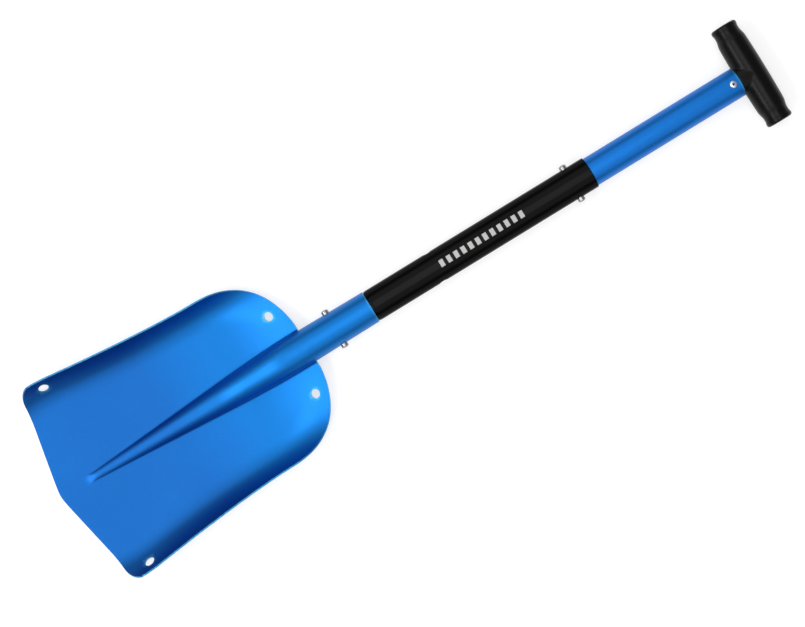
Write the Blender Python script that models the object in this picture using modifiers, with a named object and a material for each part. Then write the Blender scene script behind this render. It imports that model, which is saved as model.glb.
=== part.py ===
"""A three-piece avalanche shovel: pressed blade with a rolled socket, two shaft tubes and a T-grip.

Frame: metres, +Z up. The shovel lies on the back of its blade on Z = 0, the scoop faces up,
the shaft runs along +Y and X = 0 is the middle plane. Distances called "station" are measured
along the shovel from the point of the blade, so Y = station - LENGTH / 2.
"""

from math import asin, atan, atan2, cos, pi, radians, sin, sqrt, tan

import bmesh
import bpy
from mathutils import Matrix, Vector

NAME = "avalanche_shovel"

# Whole shovel
LENGTH = 0.810
AXIS_Z = 0.0174
FIT = 0.0003

# Blade outline, as half widths at stations
SHEET = 0.0016
FRONT_HALF_WIDTH = 0.1068
FRONT_STATION = 0.043
SHOULDER_HALF_WIDTH = 0.0921
SHOULDER_STATION = 0.209
ARCH_END = 0.2866
ARCH_POWER = 2.55
ARCH_LAST_ANGLE = radians(79.0)
FLARE_POWER = 1.5
FRONT_SWEEP = 0.202
POINT_ROUND = 0.0055
CORNER_RADIUS = 0.017
CORNER_END_ANGLE = radians(0.7)
TUCK = 0.0013
TUCK_FROM = 0.055
TUCK_TO = 0.034

# Blade relief
WALL_HEIGHT_FRONT = 0.029
WALL_HEIGHT_SHOULDER = 0.025
WALL_START = 0.66
WALL_LEAN = radians(79.0)
WALL_LEAN_FADE = 4.5
LEAST_LEAN = radians(2.0)
FLOOR_SHARE = 0.60
REAR_RISE_STATION = 0.200
REAR_RISE = 0.0154
REAR_RISE_POWER = 1.8
RIB_START = 0.029
RIB_NOSE = 0.012
RIB_HALF_AT_START = 0.0050
RIB_WIDEN = 0.0735
RIB_HALF_MAX = 0.0203
RIB_EASE = 0.18
RIB_RATIO_START = 0.30
RIB_RATIO_FULL = 0.85
RIB_FILLET = 0.003
RIB_FLANK = 0.0004
RIB_CLIMB_FROM = 0.185
RIB_CLIMB_TO = 0.265
FLAT = 2e-5

# Socket, rolled from the blade's own sheet
SOCKET_FROM = 0.2886
SOCKET_MOUTH = 0.3587
SOCKET_RADIUS_ROOT = 0.0174
SOCKET_RADIUS_MOUTH = 0.0167
SOCKET_SEAM_GAP = 0.0008

# Holes in the blade
FRONT_HOLE = (0.0992, 0.0438, 0.0103)
REAR_HOLE = (0.0442, 0.2676, 0.0090)

# Middle tube, with its lower end necked down to enter the socket
MID_RADIUS = 0.0163
MID_BORE = 0.0153
NECK_RADIUS = 0.0148
NECK_BORE = 0.0138
NECK_END = 0.2905
MID_TOP = 0.6098
SHOULDER_LENGTH = 0.0035

# Upper tube
UPPER_RADIUS = 0.0150
UPPER_BORE = 0.0138
UPPER_END = 0.5480
UPPER_TOP = 0.7790

# Snap buttons: stations of the two locks, and of the second pair of holes for a short shaft
LOWER_SNAP = 0.3173
UPPER_SNAP = 0.5892
SHORT_SNAP = 0.4322
BUTTON_RADIUS = 0.0038
BUTTON_HOLE_RADIUS = 0.0042
LOWER_BUTTON_TIP = 0.0212
UPPER_BUTTON_TIP = 0.0205
TAIL_RADIUS = 0.0015
DOME_HEIGHT = 0.0016

# V springs
LEG_OUTSIDE = 0.0128
LEG_THICKNESS = 0.0008
LEG_WIDTH = 0.008
LEG_END = 0.007
LEG_STRAIGHT = 0.006
SPRING_BEND_RADIUS = 0.0026
SPRING_REACH = 0.044

# T-grip
GRIP_STATION = 0.79485
GRIP_HALF_LENGTH = 0.0545
COLLAR_RADIUS = 0.0150
PLUG_RADIUS = 0.0134
PLUG_BORE = 0.0094
PLUG_END = 0.7440

# Blind rivets through tube and plug
RIVET_STATION = 0.7712
RIVET_HEAD_RADIUS = 0.0036
RIVET_HEAD_HEIGHT = 0.0013
RIVET_SHANK_RADIUS = 0.0020
RIVET_BULB_RADIUS = 0.0028
RIVET_BULB_END = 0.0063
RIVET_BORE_RADIUS = 0.0013
RIVET_HOLE_RADIUS = 0.0023
MANDREL_RADIUS = 0.0010
MANDREL_HEAD_RADIUS = 0.0017
MANDREL_INNER_END = 0.0046
MANDREL_RECESS = 0.0006

# Mesh steps
CORNER_STEPS = 5
CORNER_ROUNDS = 6
SIDE_PARTS = (0.04, 0.08, 0.13, 0.20, 0.30, 0.42, 0.55, 0.68, 0.80, 0.90, 1.0)
REAR_STEPS = 9
REAR_SPACING = 1.15
SOCKET_PARTS = (0, 0.2, 0.6, 0.8, 1)
ARCH_STEPS = 7
FILLET_STEPS = 3
FLOOR_STEPS = 4
WALL_STEPS = 5
TUBE_STEPS = 40
SMALL_STEPS = 20
GRIP_STEPS = 32
BEND_STEPS = 4
DOME_STEPS = 4
TUBE_SMOOTH_ANGLE = radians(35.0)

BLUE = ("anodised_blue", (0.020, 0.150, 0.640, 1.0), 0.32, 0.75)
BLACK_TUBE = ("anodised_black", (0.012, 0.012, 0.013, 1.0), 0.38, 0.60)
BLACK_PLASTIC = ("moulded_black", (0.015, 0.015, 0.016, 1.0), 0.48, 0.0)
STEEL = ("bright_steel", (0.62, 0.62, 0.64, 1.0), 0.25, 1.0)
SPRING_STEEL = ("spring_steel", (0.42, 0.42, 0.44, 1.0), 0.34, 1.0)
RIVET_ALLOY = ("rivet_alloy", (0.78, 0.79, 0.80, 1.0), 0.30, 1.0)
MANDREL_STEEL = ("mandrel_steel", (0.10, 0.10, 0.11, 1.0), 0.45, 1.0)


def station_y(station):
    return station - LENGTH / 2


def clear_scene():
    for obj in list(bpy.data.objects):
        bpy.data.objects.remove(obj, do_unlink=True)


def new_collection(name):
    collection = bpy.data.collections.new(name)
    bpy.context.scene.collection.children.link(collection)
    return collection


def make_material(finish):
    name, colour, roughness, metallic = finish
    if name in bpy.data.materials:
        return bpy.data.materials[name]
    material = bpy.data.materials.new(name)
    material.use_nodes = True
    shader = material.node_tree.nodes["Principled BSDF"]
    shader.inputs["Base Color"].default_value = colour
    shader.inputs["Roughness"].default_value = roughness
    shader.inputs["Metallic"].default_value = metallic
    return material


def add_object(name, mesh, finish):
    """Put a mesh in the shovel's collection as a named part with its finish."""
    obj = bpy.data.objects.new(name, mesh)
    bpy.data.collections[NAME].objects.link(obj)
    mesh.materials.append(make_material(finish))
    return obj


def mesh_from(bm, name):
    mesh = bpy.data.meshes.new(name)
    bm.to_mesh(mesh)
    bm.free()
    return mesh


def ring_mesh(name, profile):
    """A closed outline of (radius, height) points in the XZ plane, to be turned by a Screw."""
    mesh = bpy.data.meshes.new(name)
    points = [(radius, 0.0, height) for radius, height in profile]
    edges = [(i, (i + 1) % len(points)) for i in range(len(points))]
    mesh.from_pydata(points, edges, [])
    return mesh


def line_mesh(name, profile):
    """An open outline that starts and ends on the axis, to be turned by a Screw."""
    mesh = bpy.data.meshes.new(name)
    points = [(radius, 0.0, height) for radius, height in profile]
    mesh.from_pydata(points, [(i, i + 1) for i in range(len(points) - 1)], [])
    return mesh


def turn(obj, steps):
    screw = obj.modifiers.new("turned", "SCREW")
    screw.axis = "Z"
    screw.steps = steps
    screw.render_steps = steps
    screw.use_merge_vertices = True
    screw.merge_threshold = 1e-6
    screw.use_smooth_shade = True


def smooth_by_angle(mesh):
    mesh.shade_smooth()
    mesh.set_sharp_from_angle(angle=TUBE_SMOOTH_ANGLE)


def make_cutter(name, radius, depth, place):
    """A round cutter, kept out of the render, with its axis on Z before it is placed."""
    bm = bmesh.new()
    bmesh.ops.create_cone(
        bm, cap_ends=True, segments=SMALL_STEPS, radius1=radius, radius2=radius, depth=depth
    )
    cutter = bpy.data.objects.new(name, mesh_from(bm, name))
    cutter.matrix_world = place
    cutter.hide_render = True
    cutter.display_type = "WIRE"
    bpy.data.collections["cutters"].objects.link(cutter)
    return cutter


def cut(obj, cutter):
    boolean = obj.modifiers.new(cutter.name, "BOOLEAN")
    boolean.operation = "DIFFERENCE"
    boolean.solver = "EXACT"
    boolean.object = cutter


def join(obj, other):
    """Add another shape to a part, and keep that shape out of the render."""
    other.hide_render = True
    other.display_type = "WIRE"
    boolean = obj.modifiers.new(other.name, "BOOLEAN")
    boolean.operation = "UNION"
    boolean.solver = "EXACT"
    boolean.object = other


def along_y(station):
    """Place a turned shape with its Z axis along the shaft and its zero at a station."""
    return Matrix.Translation((0, station_y(station), AXIS_Z)) @ Matrix.Rotation(-pi / 2, 4, "X")


def across_x(station):
    """Place a cutter across the shaft, through both side walls."""
    return Matrix.Translation((0, station_y(station), AXIS_Z)) @ Matrix.Rotation(pi / 2, 4, "Y")


# Blade


def ease(t):
    t = min(max(t, 0.0), 1.0)
    return t * t * (3 - 2 * t)


def front_edge(x):
    """Station of the shallow V of the front edge, with its point rounded."""
    return FRONT_SWEEP * (sqrt(x * x + POINT_ROUND * POINT_ROUND) - POINT_ROUND)


def side_half_width(station):
    """Half width at the side line, which flares to the front and draws in before the corner."""
    reach = (SHOULDER_STATION - station) / (SHOULDER_STATION - FRONT_STATION)
    flare = (FRONT_HALF_WIDTH - SHOULDER_HALF_WIDTH) * max(reach, 0.0) ** FLARE_POWER
    drawn_in = TUCK * (max(TUCK_FROM - station, 0.0) / (TUCK_FROM - TUCK_TO)) ** 2
    return SHOULDER_HALF_WIDTH + flare - drawn_in


def corner_centre():
    """Centre of the round of the front corner, as (x, station), which touches edge and side."""
    offset = CORNER_RADIUS * sqrt(1 + FRONT_SWEEP * FRONT_SWEEP)
    x = FRONT_HALF_WIDTH - CORNER_RADIUS
    for _ in range(CORNER_ROUNDS):
        station = FRONT_SWEEP * (x - POINT_ROUND) + offset
        end = station + CORNER_RADIUS * sin(CORNER_END_ANGLE)
        x = side_half_width(end) - CORNER_RADIUS * cos(CORNER_END_ANGLE)
    return x, station


def arch_point(angle):
    """Half width and station on the rounded rear of the outline, from the side to the socket."""
    power = 2 / ARCH_POWER
    depth = ARCH_END - SHOULDER_STATION
    half_width = SHOULDER_HALF_WIDTH * cos(angle) ** power
    return half_width, SHOULDER_STATION + depth * sin(angle) ** power


def edge_rows():
    """(half width, station, how much of the front V the row follows) of each row of the blade."""
    centre_x, centre_s = corner_centre()
    start = atan(FRONT_SWEEP) - pi / 2
    rows = []
    for step in range(CORNER_STEPS + 1):
        angle = start + (CORNER_END_ANGLE - start) * step / CORNER_STEPS
        half_width = centre_x + CORNER_RADIUS * cos(angle)
        rows.append((half_width, centre_s + CORNER_RADIUS * sin(angle), 1.0))
    first = rows[-1][1]
    for part in SIDE_PARTS:
        station = first + (SHOULDER_STATION - first) * part
        rows.append((side_half_width(station), station, (1 - part) ** 2))
    for step in range(1, REAR_STEPS + 1):
        part = (step / REAR_STEPS) ** REAR_SPACING
        rows.append((*arch_point(ARCH_LAST_ANGLE * part), 0.0))
    return rows


def wall_at(x, station):
    """Share of the way out to the rim, and the height and lean of the wall's rim there."""
    if station < SHOULDER_STATION:
        back = (SHOULDER_STATION - station) / SHOULDER_STATION
        growth = WALL_HEIGHT_FRONT - WALL_HEIGHT_SHOULDER
        height = WALL_HEIGHT_SHOULDER + growth * ease(2 * back)
        return abs(x) / side_half_width(station), height, WALL_LEAN
    across = abs(x) / SHOULDER_HALF_WIDTH
    along = (station - SHOULDER_STATION) / (ARCH_END - SHOULDER_STATION)
    out = (across**ARCH_POWER + along**ARCH_POWER) ** (1 / ARCH_POWER)
    fade = cos(atan2(along, across)) ** WALL_LEAN_FADE
    lean = max(WALL_LEAN * fade, LEAST_LEAN)
    return out, WALL_HEIGHT_SHOULDER * tan(lean / 2) / tan(WALL_LEAN / 2), lean


def floor_height(x, station):
    """Top of the sheet beside the rib: flat, rising at the rear, with its sides curled up."""
    rise_span = ARCH_END - REAR_RISE_STATION
    rise = REAR_RISE * max((station - REAR_RISE_STATION) / rise_span, 0.0) ** REAR_RISE_POWER
    out, height, lean = wall_at(x, station)
    into = min(max((out - WALL_START) / (1 - WALL_START), 0.0), 1.0) * sin(lean)
    curl = (1 - sqrt(1 - into * into)) / (1 - cos(lean))
    return SHEET + rise + height * curl


def rib_half_width(station):
    """Half width at the rib's foot: a straight taper that eases into the socket's full width."""
    full = (RIB_HALF_MAX - RIB_HALF_AT_START) / RIB_WIDEN
    along = max(station - RIB_START, 0.0) / full
    if along > 1 - RIB_EASE:
        over = min(along - 1 + RIB_EASE, 2 * RIB_EASE)
        along = 1 - RIB_EASE + over - over * over / (4 * RIB_EASE)
    return RIB_HALF_AT_START + (RIB_HALF_MAX - RIB_HALF_AT_START) * along


def rib_top(station):
    """Height of the rib's crest, which climbs from the blade's floor to the top of the socket."""
    before = min(station, RIB_CLIMB_FROM)
    reach = rib_half_width(before)
    growth = (RIB_RATIO_FULL - RIB_RATIO_START) / (RIB_CLIMB_FROM - RIB_START)
    ratio = RIB_RATIO_START + growth * max(before - RIB_START, 0.0)
    low = SHEET + ratio * reach * ease((station - RIB_START) / RIB_NOSE)
    high = AXIS_Z + SOCKET_RADIUS_ROOT
    climb = RIB_CLIMB_TO - RIB_CLIMB_FROM
    t = min(max((station - RIB_CLIMB_FROM) / climb, 0.0), 1.0)
    start_slope = (ratio * RIB_WIDEN + growth * reach) * climb
    return low + (high - low) * ease(t) + start_slope * t * (1 - t) * (1 - t)


def rib_section(station):
    """Half of the rib's section, from its crest out to the floor, as (x, z) points."""
    foot = rib_half_width(station)
    floor = floor_height(foot, station)
    height = max(rib_top(station) - floor, FLAT)
    lean = min(2 * atan(height / foot), pi / 2)
    flank = max(height - foot, RIB_FLANK)
    span = (foot - flank * cos(lean)) / sin(lean)
    crest = span - RIB_FILLET
    foot_z = floor + RIB_FILLET * (1 - cos(lean))
    shoulder_x = foot - RIB_FILLET * sin(lean) - flank * cos(lean)
    shoulder_z = foot_z + flank * sin(lean)
    points = []
    for step in range(ARCH_STEPS + 1):
        angle = lean * step / ARCH_STEPS
        points.append((crest * sin(angle), shoulder_z + crest * (cos(angle) - cos(lean))))
    points[-1] = (shoulder_x, shoulder_z)
    for step in range(FILLET_STEPS + 1):
        angle = lean * (1 - step / FILLET_STEPS)
        points.append((foot - RIB_FILLET * sin(angle), floor + RIB_FILLET * (1 - cos(angle))))
    return points


def across_fractions():
    """Fractions from the rib's foot to the rim: even on the floor, by angle on the curled wall."""
    flat = [FLOOR_SHARE * step / FLOOR_STEPS for step in range(1, FLOOR_STEPS + 1)]
    curl = [sin(WALL_LEAN * step / WALL_STEPS) / sin(WALL_LEAN) for step in range(1, WALL_STEPS + 1)]
    return flat + [FLOOR_SHARE + (1 - FLOOR_SHARE) * part for part in curl]


def blade_row(half_width, edge_station, follow):
    """One half row of the blade's upper surface, from the middle to the rim."""
    set_back = edge_station - front_edge(half_width) * follow
    points = []
    for x, _ in rib_section(set_back):
        points.append((x, set_back + front_edge(x) * follow))
    middle = [(x, s, rib_section(s)[i][1]) for i, (x, s) in enumerate(points)]
    foot = middle[-1][0]
    for part in across_fractions():
        x = foot + (half_width - foot) * part
        station = set_back + front_edge(x) * follow
        middle.append((x, station, floor_height(x, station)))
    return middle


def socket_row(station):
    """One half row of the rolled socket, from its crest round to the seam underneath."""
    part = (station - SOCKET_FROM) / (SOCKET_MOUTH - SOCKET_FROM)
    radius = SOCKET_RADIUS_ROOT + (SOCKET_RADIUS_MOUTH - SOCKET_RADIUS_ROOT) * part
    seam = pi - asin(SOCKET_SEAM_GAP / 2 / radius)
    lower_steps = 1 + FILLET_STEPS + FLOOR_STEPS + WALL_STEPS
    angles = [pi / 2 * step / ARCH_STEPS for step in range(ARCH_STEPS + 1)]
    below = [step / lower_steps for step in range(1, lower_steps + 1)]
    angles += [pi / 2 + (seam - pi / 2) * part for part in below]
    return [(radius * sin(a), station, AXIS_Z + radius * cos(a)) for a in angles]


def blade_surface():
    """The upper face of blade and socket as one warped grid, notched where they part."""
    blade_rows = [blade_row(*row) for row in edge_rows()]
    span = SOCKET_MOUTH - SOCKET_FROM
    socket_rows = [socket_row(SOCKET_FROM + span * part) for part in SOCKET_PARTS]
    rows = blade_rows + socket_rows
    half = len(rows[0]) - 1
    bm = bmesh.new()
    bmesh.ops.create_grid(bm, x_segments=2 * half, y_segments=len(rows) - 1, size=1.0)
    notch = []
    for face in bm.faces:
        middle = face.calc_center_median()
        row = int((middle.y + 1) / 2 * (len(rows) - 1))
        column = abs(middle.x) * half
        if row == len(blade_rows) - 1 and column > ARCH_STEPS:
            notch.append(face)
    for vert in bm.verts:
        row = rows[round((vert.co.y + 1) / 2 * (len(rows) - 1))]
        column = round(vert.co.x * half)
        x, station, z = row[abs(column)]
        vert.co = Vector((x if column >= 0 else -x, station_y(station), z))
    bmesh.ops.delete(bm, geom=notch, context="FACES")
    return mesh_from(bm, "blade")


def wall_hole_place(x, station):
    """Place a cutter square to the sheet at a point of the blade's floor or wall."""
    step = 0.001
    slope_x = (floor_height(x + step, station) - floor_height(x - step, station)) / (2 * step)
    slope_y = (floor_height(x, station + step) - floor_height(x, station - step)) / (2 * step)
    normal = Vector((-slope_x, -slope_y, 1.0)).normalized()
    turn_up = Vector((0, 0, 1)).rotation_difference(normal).to_matrix().to_4x4()
    return Matrix.Translation((x, station_y(station), floor_height(x, station))) @ turn_up


def make_blade():
    blade = add_object("blade", blade_surface(), BLUE)
    solidify = blade.modifiers.new("sheet", "SOLIDIFY")
    solidify.thickness = SHEET
    solidify.offset = -1
    solidify.use_even_offset = True
    for label, (x, station, diameter) in (("front", FRONT_HOLE), ("rear", REAR_HOLE)):
        for side, sign in (("left", -1), ("right", 1)):
            place = wall_hole_place(sign * x, station)
            cut(blade, make_cutter(f"{label}_{side}_hole", diameter / 2, 0.012, place))
    place = across_x(LOWER_SNAP)
    cut(blade, make_cutter("socket_snap_hole", BUTTON_HOLE_RADIUS, 0.06, place))
    smooth_by_angle(blade.data)
    return blade


# Tubes


def make_tube(name, profile, snap_stations, finish):
    """A tube turned from a profile of (radius, station), with snap holes through both sides."""
    tube = add_object(name, ring_mesh(name, profile), finish)
    tube.matrix_world = along_y(0)
    turn(tube, TUBE_STEPS)
    for station in snap_stations:
        label = f"{name}_hole_{round(station * 1000)}"
        cut(tube, make_cutter(label, BUTTON_HOLE_RADIUS, 0.06, across_x(station)))
    return tube


def make_middle_tube():
    step_from = SOCKET_MOUTH + FIT
    step_to = step_from + SHOULDER_LENGTH
    profile = [
        (MID_RADIUS, MID_TOP),
        (MID_RADIUS, step_to),
        (MID_RADIUS - 0.0008, step_from),
        (NECK_RADIUS, step_from),
        (NECK_RADIUS, NECK_END + 0.0015),
        (NECK_RADIUS - 0.0005, NECK_END),
        (NECK_BORE, NECK_END),
        (NECK_BORE, step_to - 0.001),
        (MID_BORE, step_to + 0.003),
        (MID_BORE, MID_TOP),
    ]
    return make_tube("middle_tube", profile, (LOWER_SNAP, SHORT_SNAP, UPPER_SNAP), BLACK_TUBE)


def make_upper_tube():
    profile = [
        (UPPER_RADIUS, UPPER_TOP),
        (UPPER_RADIUS, UPPER_END + 0.001),
        (UPPER_RADIUS - 0.0004, UPPER_END),
        (UPPER_BORE, UPPER_END),
        (UPPER_BORE, UPPER_TOP),
    ]
    tube = make_tube("upper_tube", profile, (UPPER_SNAP,), BLUE)
    cut(tube, rivet_hole_cutter())
    return tube


# T-grip


def grip_profile():
    """Half outline of the bar from its end to its middle as (radius, distance from the middle)."""
    return [
        (0.0, GRIP_HALF_LENGTH),
        (0.0112, GRIP_HALF_LENGTH),
        (0.0128, GRIP_HALF_LENGTH - 0.0008),
        (0.0135, GRIP_HALF_LENGTH - 0.0022),
        (0.0133, 0.0505),
        (0.0127, 0.0480),
        (0.0130, 0.0430),
        (0.0138, 0.0400),
        (0.0144, 0.0370),
        (0.0148, 0.0260),
        (0.01508, 0.0130),
    ]


def rivet_hole_cutter():
    if "rivet_hole" not in bpy.data.objects:
        place = Matrix.Translation((0, station_y(RIVET_STATION), AXIS_Z))
        make_cutter("rivet_hole", RIVET_HOLE_RADIUS, 0.06, place)
    return bpy.data.objects["rivet_hole"]


def make_grip():
    """The bar is turned about X. Its collar and its hollow plug are turned about the shaft."""
    half = grip_profile()
    other_half = [(radius, -along) for radius, along in reversed(half)]
    bar = add_object("t_grip", line_mesh("t_grip", half + other_half), BLACK_PLASTIC)
    across = Matrix.Rotation(pi / 2, 4, "Y")
    bar.matrix_world = Matrix.Translation((0, station_y(GRIP_STATION), AXIS_Z)) @ across
    turn(bar, GRIP_STEPS)
    collar_from = UPPER_TOP + FIT
    stem_profile = [
        (0.0, GRIP_STATION),
        (COLLAR_RADIUS, GRIP_STATION),
        (COLLAR_RADIUS, collar_from),
        (PLUG_RADIUS, collar_from),
        (PLUG_RADIUS, PLUG_END + 0.001),
        (PLUG_RADIUS - 0.0006, PLUG_END),
        (PLUG_BORE, PLUG_END),
        (PLUG_BORE, collar_from),
        (0.0, collar_from),
    ]
    stem = bpy.data.objects.new("grip_stem", line_mesh("grip_stem", stem_profile))
    bpy.data.collections["cutters"].objects.link(stem)
    stem.matrix_world = along_y(0)
    turn(stem, TUBE_STEPS)
    join(bar, stem)
    cut(bar, rivet_hole_cutter())
    return bar


# Snap springs and buttons


def leg_path():
    """Half of a V spring, from the middle of its bend to the end of a leg, as (x, distance)."""
    middle_x = LEG_OUTSIDE - LEG_THICKNESS / 2
    reach = SPRING_REACH - SPRING_BEND_RADIUS
    lean = atan2(middle_x - SPRING_BEND_RADIUS, reach - LEG_STRAIGHT)
    points = []
    for step in range(BEND_STEPS + 1):
        angle = (pi / 2 - lean) * step / BEND_STEPS
        points.append((SPRING_BEND_RADIUS * sin(angle), reach + SPRING_BEND_RADIUS * cos(angle)))
    points.append((middle_x, LEG_STRAIGHT))
    points.append((middle_x, -LEG_END))
    return points


def make_spring(name, station):
    """A strip bent to a V: its outline is extruded across Z, and Solidify gives it thickness."""
    half = leg_path()
    path = [(-x, along) for x, along in reversed(half)] + half[1:]
    bm = bmesh.new()
    line = [bm.verts.new((x, station_y(station + along), AXIS_Z - LEG_WIDTH / 2)) for x, along in path]
    edges = [bm.edges.new((a, b)) for a, b in zip(line, line[1:])]
    made = bmesh.ops.extrude_edge_only(bm, edges=edges)
    verts = [item for item in made["geom"] if isinstance(item, bmesh.types.BMVert)]
    bmesh.ops.translate(bm, verts=verts, vec=(0, 0, LEG_WIDTH))
    spring = add_object(name, mesh_from(bm, name), SPRING_STEEL)
    solidify = spring.modifiers.new("strip", "SOLIDIFY")
    solidify.thickness = LEG_THICKNESS
    solidify.offset = 0
    solidify.use_even_offset = True
    hole_radius = TAIL_RADIUS + FIT
    cut(spring, make_cutter(f"{name}_hole", hole_radius, 0.06, across_x(station)))
    return spring


def button_profile(tip):
    """Outline of a snap button from the middle of its dome to its peened tail, along X."""
    shoulder = tip - DOME_HEIGHT
    seat = LEG_OUTSIDE + FIT
    inside = LEG_OUTSIDE - LEG_THICKNESS - FIT
    points = [(0.0, tip)]
    for step in range(1, DOME_STEPS + 1):
        angle = pi / 2 * step / DOME_STEPS
        points.append((BUTTON_RADIUS * sin(angle) ** 0.8, shoulder + DOME_HEIGHT * cos(angle)))
    points += [
        (BUTTON_RADIUS, seat),
        (TAIL_RADIUS, seat),
        (TAIL_RADIUS, inside),
        (0.0022, inside),
        (0.0019, inside - 0.0007),
        (0.0, inside - 0.0009),
    ]
    return points


def make_button(name, station, tip, side):
    button = add_object(name, line_mesh(name, button_profile(tip)), STEEL)
    facing = Matrix.Rotation(side * pi / 2, 4, "Y")
    button.matrix_world = Matrix.Translation((0, station_y(station), AXIS_Z)) @ facing
    turn(button, SMALL_STEPS)
    return button


# Rivets


def rivet_profile():
    under = UPPER_RADIUS + FIT
    top = under + RIVET_HEAD_HEIGHT
    bulb_from = PLUG_BORE - FIT
    return [
        (RIVET_BORE_RADIUS, top),
        (RIVET_HEAD_RADIUS * 0.62, top - 0.00012),
        (RIVET_HEAD_RADIUS * 0.90, top - 0.00055),
        (RIVET_HEAD_RADIUS, under + 0.00025),
        (RIVET_HEAD_RADIUS - 0.0001, under),
        (RIVET_SHANK_RADIUS, under),
        (RIVET_SHANK_RADIUS, bulb_from),
        (RIVET_BULB_RADIUS, bulb_from - 0.0006),
        (RIVET_BULB_RADIUS, RIVET_BULB_END + 0.0008),
        (RIVET_BULB_RADIUS - 0.0006, RIVET_BULB_END),
        (RIVET_BORE_RADIUS, RIVET_BULB_END),
    ]


def mandrel_profile():
    """The broken stem left in a blind rivet, with the head that set it."""
    outer = UPPER_RADIUS + FIT + RIVET_HEAD_HEIGHT - MANDREL_RECESS
    head_from = RIVET_BULB_END - FIT
    return [
        (0.0, outer),
        (MANDREL_RADIUS * 0.7, outer),
        (MANDREL_RADIUS, outer - 0.0003),
        (MANDREL_RADIUS, head_from),
        (MANDREL_HEAD_RADIUS, head_from),
        (MANDREL_HEAD_RADIUS, MANDREL_INNER_END + 0.0005),
        (MANDREL_HEAD_RADIUS * 0.6, MANDREL_INNER_END),
        (0.0, MANDREL_INNER_END),
    ]


def make_rivet(label, facing):
    place = Matrix.Translation((0, station_y(RIVET_STATION), AXIS_Z)) @ facing
    rivet = add_object(f"{label}_rivet", ring_mesh(f"{label}_rivet", rivet_profile()), RIVET_ALLOY)
    rivet.matrix_world = place
    turn(rivet, SMALL_STEPS)
    name = f"{label}_rivet_mandrel"
    mandrel = add_object(name, line_mesh(name, mandrel_profile()), MANDREL_STEEL)
    mandrel.matrix_world = place
    turn(mandrel, SMALL_STEPS)


def build():
    clear_scene()
    new_collection(NAME)
    new_collection("cutters")
    make_blade()
    make_middle_tube()
    make_upper_tube()
    make_grip()
    make_spring("lower_snap_spring", LOWER_SNAP)
    make_spring("upper_snap_spring", UPPER_SNAP)
    for level, station, tip in (
        ("lower", LOWER_SNAP, LOWER_BUTTON_TIP),
        ("upper", UPPER_SNAP, UPPER_BUTTON_TIP),
    ):
        for side, sign in (("left", -1), ("right", 1)):
            make_button(f"{level}_snap_button_{side}", station, tip, sign)
    make_rivet("front", Matrix.Identity(4))
    make_rivet("rear", Matrix.Rotation(pi, 4, "X"))


build()
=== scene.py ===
# %% [markdown]
# # A three-piece avalanche shovel
# A blue pressed blade with a rolled socket, a black middle tube, a blue upper tube and a black T-grip.
# The frame holds each part's place and size. This file rebuilds every visible piece around it with
# finer curves, rounded edges and finishes, so that light runs over the metal as it does on a real one.

from math import asin, atan, atan2, cos, pi, radians, sin, sqrt, tan

import bmesh
import bpy
from mathutils import Matrix, Vector


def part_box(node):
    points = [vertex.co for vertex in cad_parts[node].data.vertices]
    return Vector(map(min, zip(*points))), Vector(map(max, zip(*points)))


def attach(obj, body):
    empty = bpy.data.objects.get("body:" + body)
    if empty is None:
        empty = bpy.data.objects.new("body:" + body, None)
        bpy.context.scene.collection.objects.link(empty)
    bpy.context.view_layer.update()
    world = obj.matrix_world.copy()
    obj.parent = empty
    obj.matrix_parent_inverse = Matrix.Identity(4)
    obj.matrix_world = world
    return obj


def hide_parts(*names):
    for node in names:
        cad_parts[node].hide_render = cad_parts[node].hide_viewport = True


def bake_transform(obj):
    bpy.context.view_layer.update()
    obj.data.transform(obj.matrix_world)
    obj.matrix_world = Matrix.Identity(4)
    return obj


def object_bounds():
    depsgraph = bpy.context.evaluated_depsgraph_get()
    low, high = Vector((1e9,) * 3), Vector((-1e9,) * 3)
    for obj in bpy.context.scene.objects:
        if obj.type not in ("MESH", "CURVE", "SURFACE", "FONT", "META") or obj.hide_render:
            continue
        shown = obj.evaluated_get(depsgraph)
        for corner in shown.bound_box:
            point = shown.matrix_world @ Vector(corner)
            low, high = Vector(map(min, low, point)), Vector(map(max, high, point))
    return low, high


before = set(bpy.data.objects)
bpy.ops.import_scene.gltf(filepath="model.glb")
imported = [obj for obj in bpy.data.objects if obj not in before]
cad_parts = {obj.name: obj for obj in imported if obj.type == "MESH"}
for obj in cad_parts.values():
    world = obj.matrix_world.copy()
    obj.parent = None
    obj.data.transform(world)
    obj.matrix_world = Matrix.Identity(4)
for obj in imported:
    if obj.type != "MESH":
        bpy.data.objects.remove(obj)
cad_low, cad_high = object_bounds()
print("frame box in mm:", [round(1000 * side, 1) for side in cad_high - cad_low])

# %% [markdown]
# ## Places that everything is measured from
# A maker measures a shovel from the point of its blade. That distance is called a station here. The
# frame's boxes give the point, the height of the shaft's centre line and the end of each tube, so the
# fine pieces sit exactly where the plain ones do.

# %% Shaft line and stations
TIP_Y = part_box("blade")[0].y
SHAFT_Z = (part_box("middle_tube")[0].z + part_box("middle_tube")[1].z) / 2


def at_station(station):
    """Y of a distance from the blade's point."""
    return TIP_Y + station


def station_of(y):
    return y - TIP_Y


SOCKET_MOUTH = station_of(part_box("blade")[1].y)
MIDDLE_END = station_of(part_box("middle_tube")[0].y)
MIDDLE_TOP = station_of(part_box("middle_tube")[1].y)
UPPER_END = station_of(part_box("upper_tube")[0].y)
UPPER_TOP = station_of(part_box("upper_tube")[1].y)
print("stations in mm:", [round(1000 * s, 1) for s in (SOCKET_MOUTH, MIDDLE_TOP, UPPER_TOP)])

# %% [markdown]
# ## Camera
# The shovel lies on its back and the camera looks straight down on the scoop. The camera is rolled so
# that the shaft climbs to the right. A long lens from well above keeps the tubes parallel and the walls
# of the blade upright.

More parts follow.
